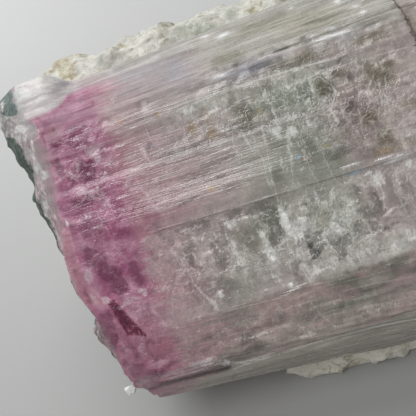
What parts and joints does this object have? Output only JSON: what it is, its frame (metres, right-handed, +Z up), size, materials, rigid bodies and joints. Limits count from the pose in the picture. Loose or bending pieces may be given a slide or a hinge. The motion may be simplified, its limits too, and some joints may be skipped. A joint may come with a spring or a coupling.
{
  "type": "watermelon tourmaline crystal",
  "caption": "Stout striated tourmaline prism, pink near its green-skinned tip and grey-green along its body, seated in a flat-based lump of cream feldspar.",
  "frame": {"origin": "centre of the footprint of the whole specimen on its resting plane", "axes": "+Z up; +X along the crystal's c-axis from its tip to its broken root; -Y is the side that the broad front face leans towards"},
  "size_m": [0.0564, 0.0464, 0.0413],
  "materials": {
    "tourmaline": "translucent, striated, full of healed cracks",
    "feldspar": "rough, dull",
    "feldspar_white": "rough, dull"
  },
  "bodies": {
    "root": {"tourmaline_crystal": "tourmaline", "feldspar_matrix": "feldspar", "feldspar_grain": "feldspar_white"}
  },
  "joints": []
}
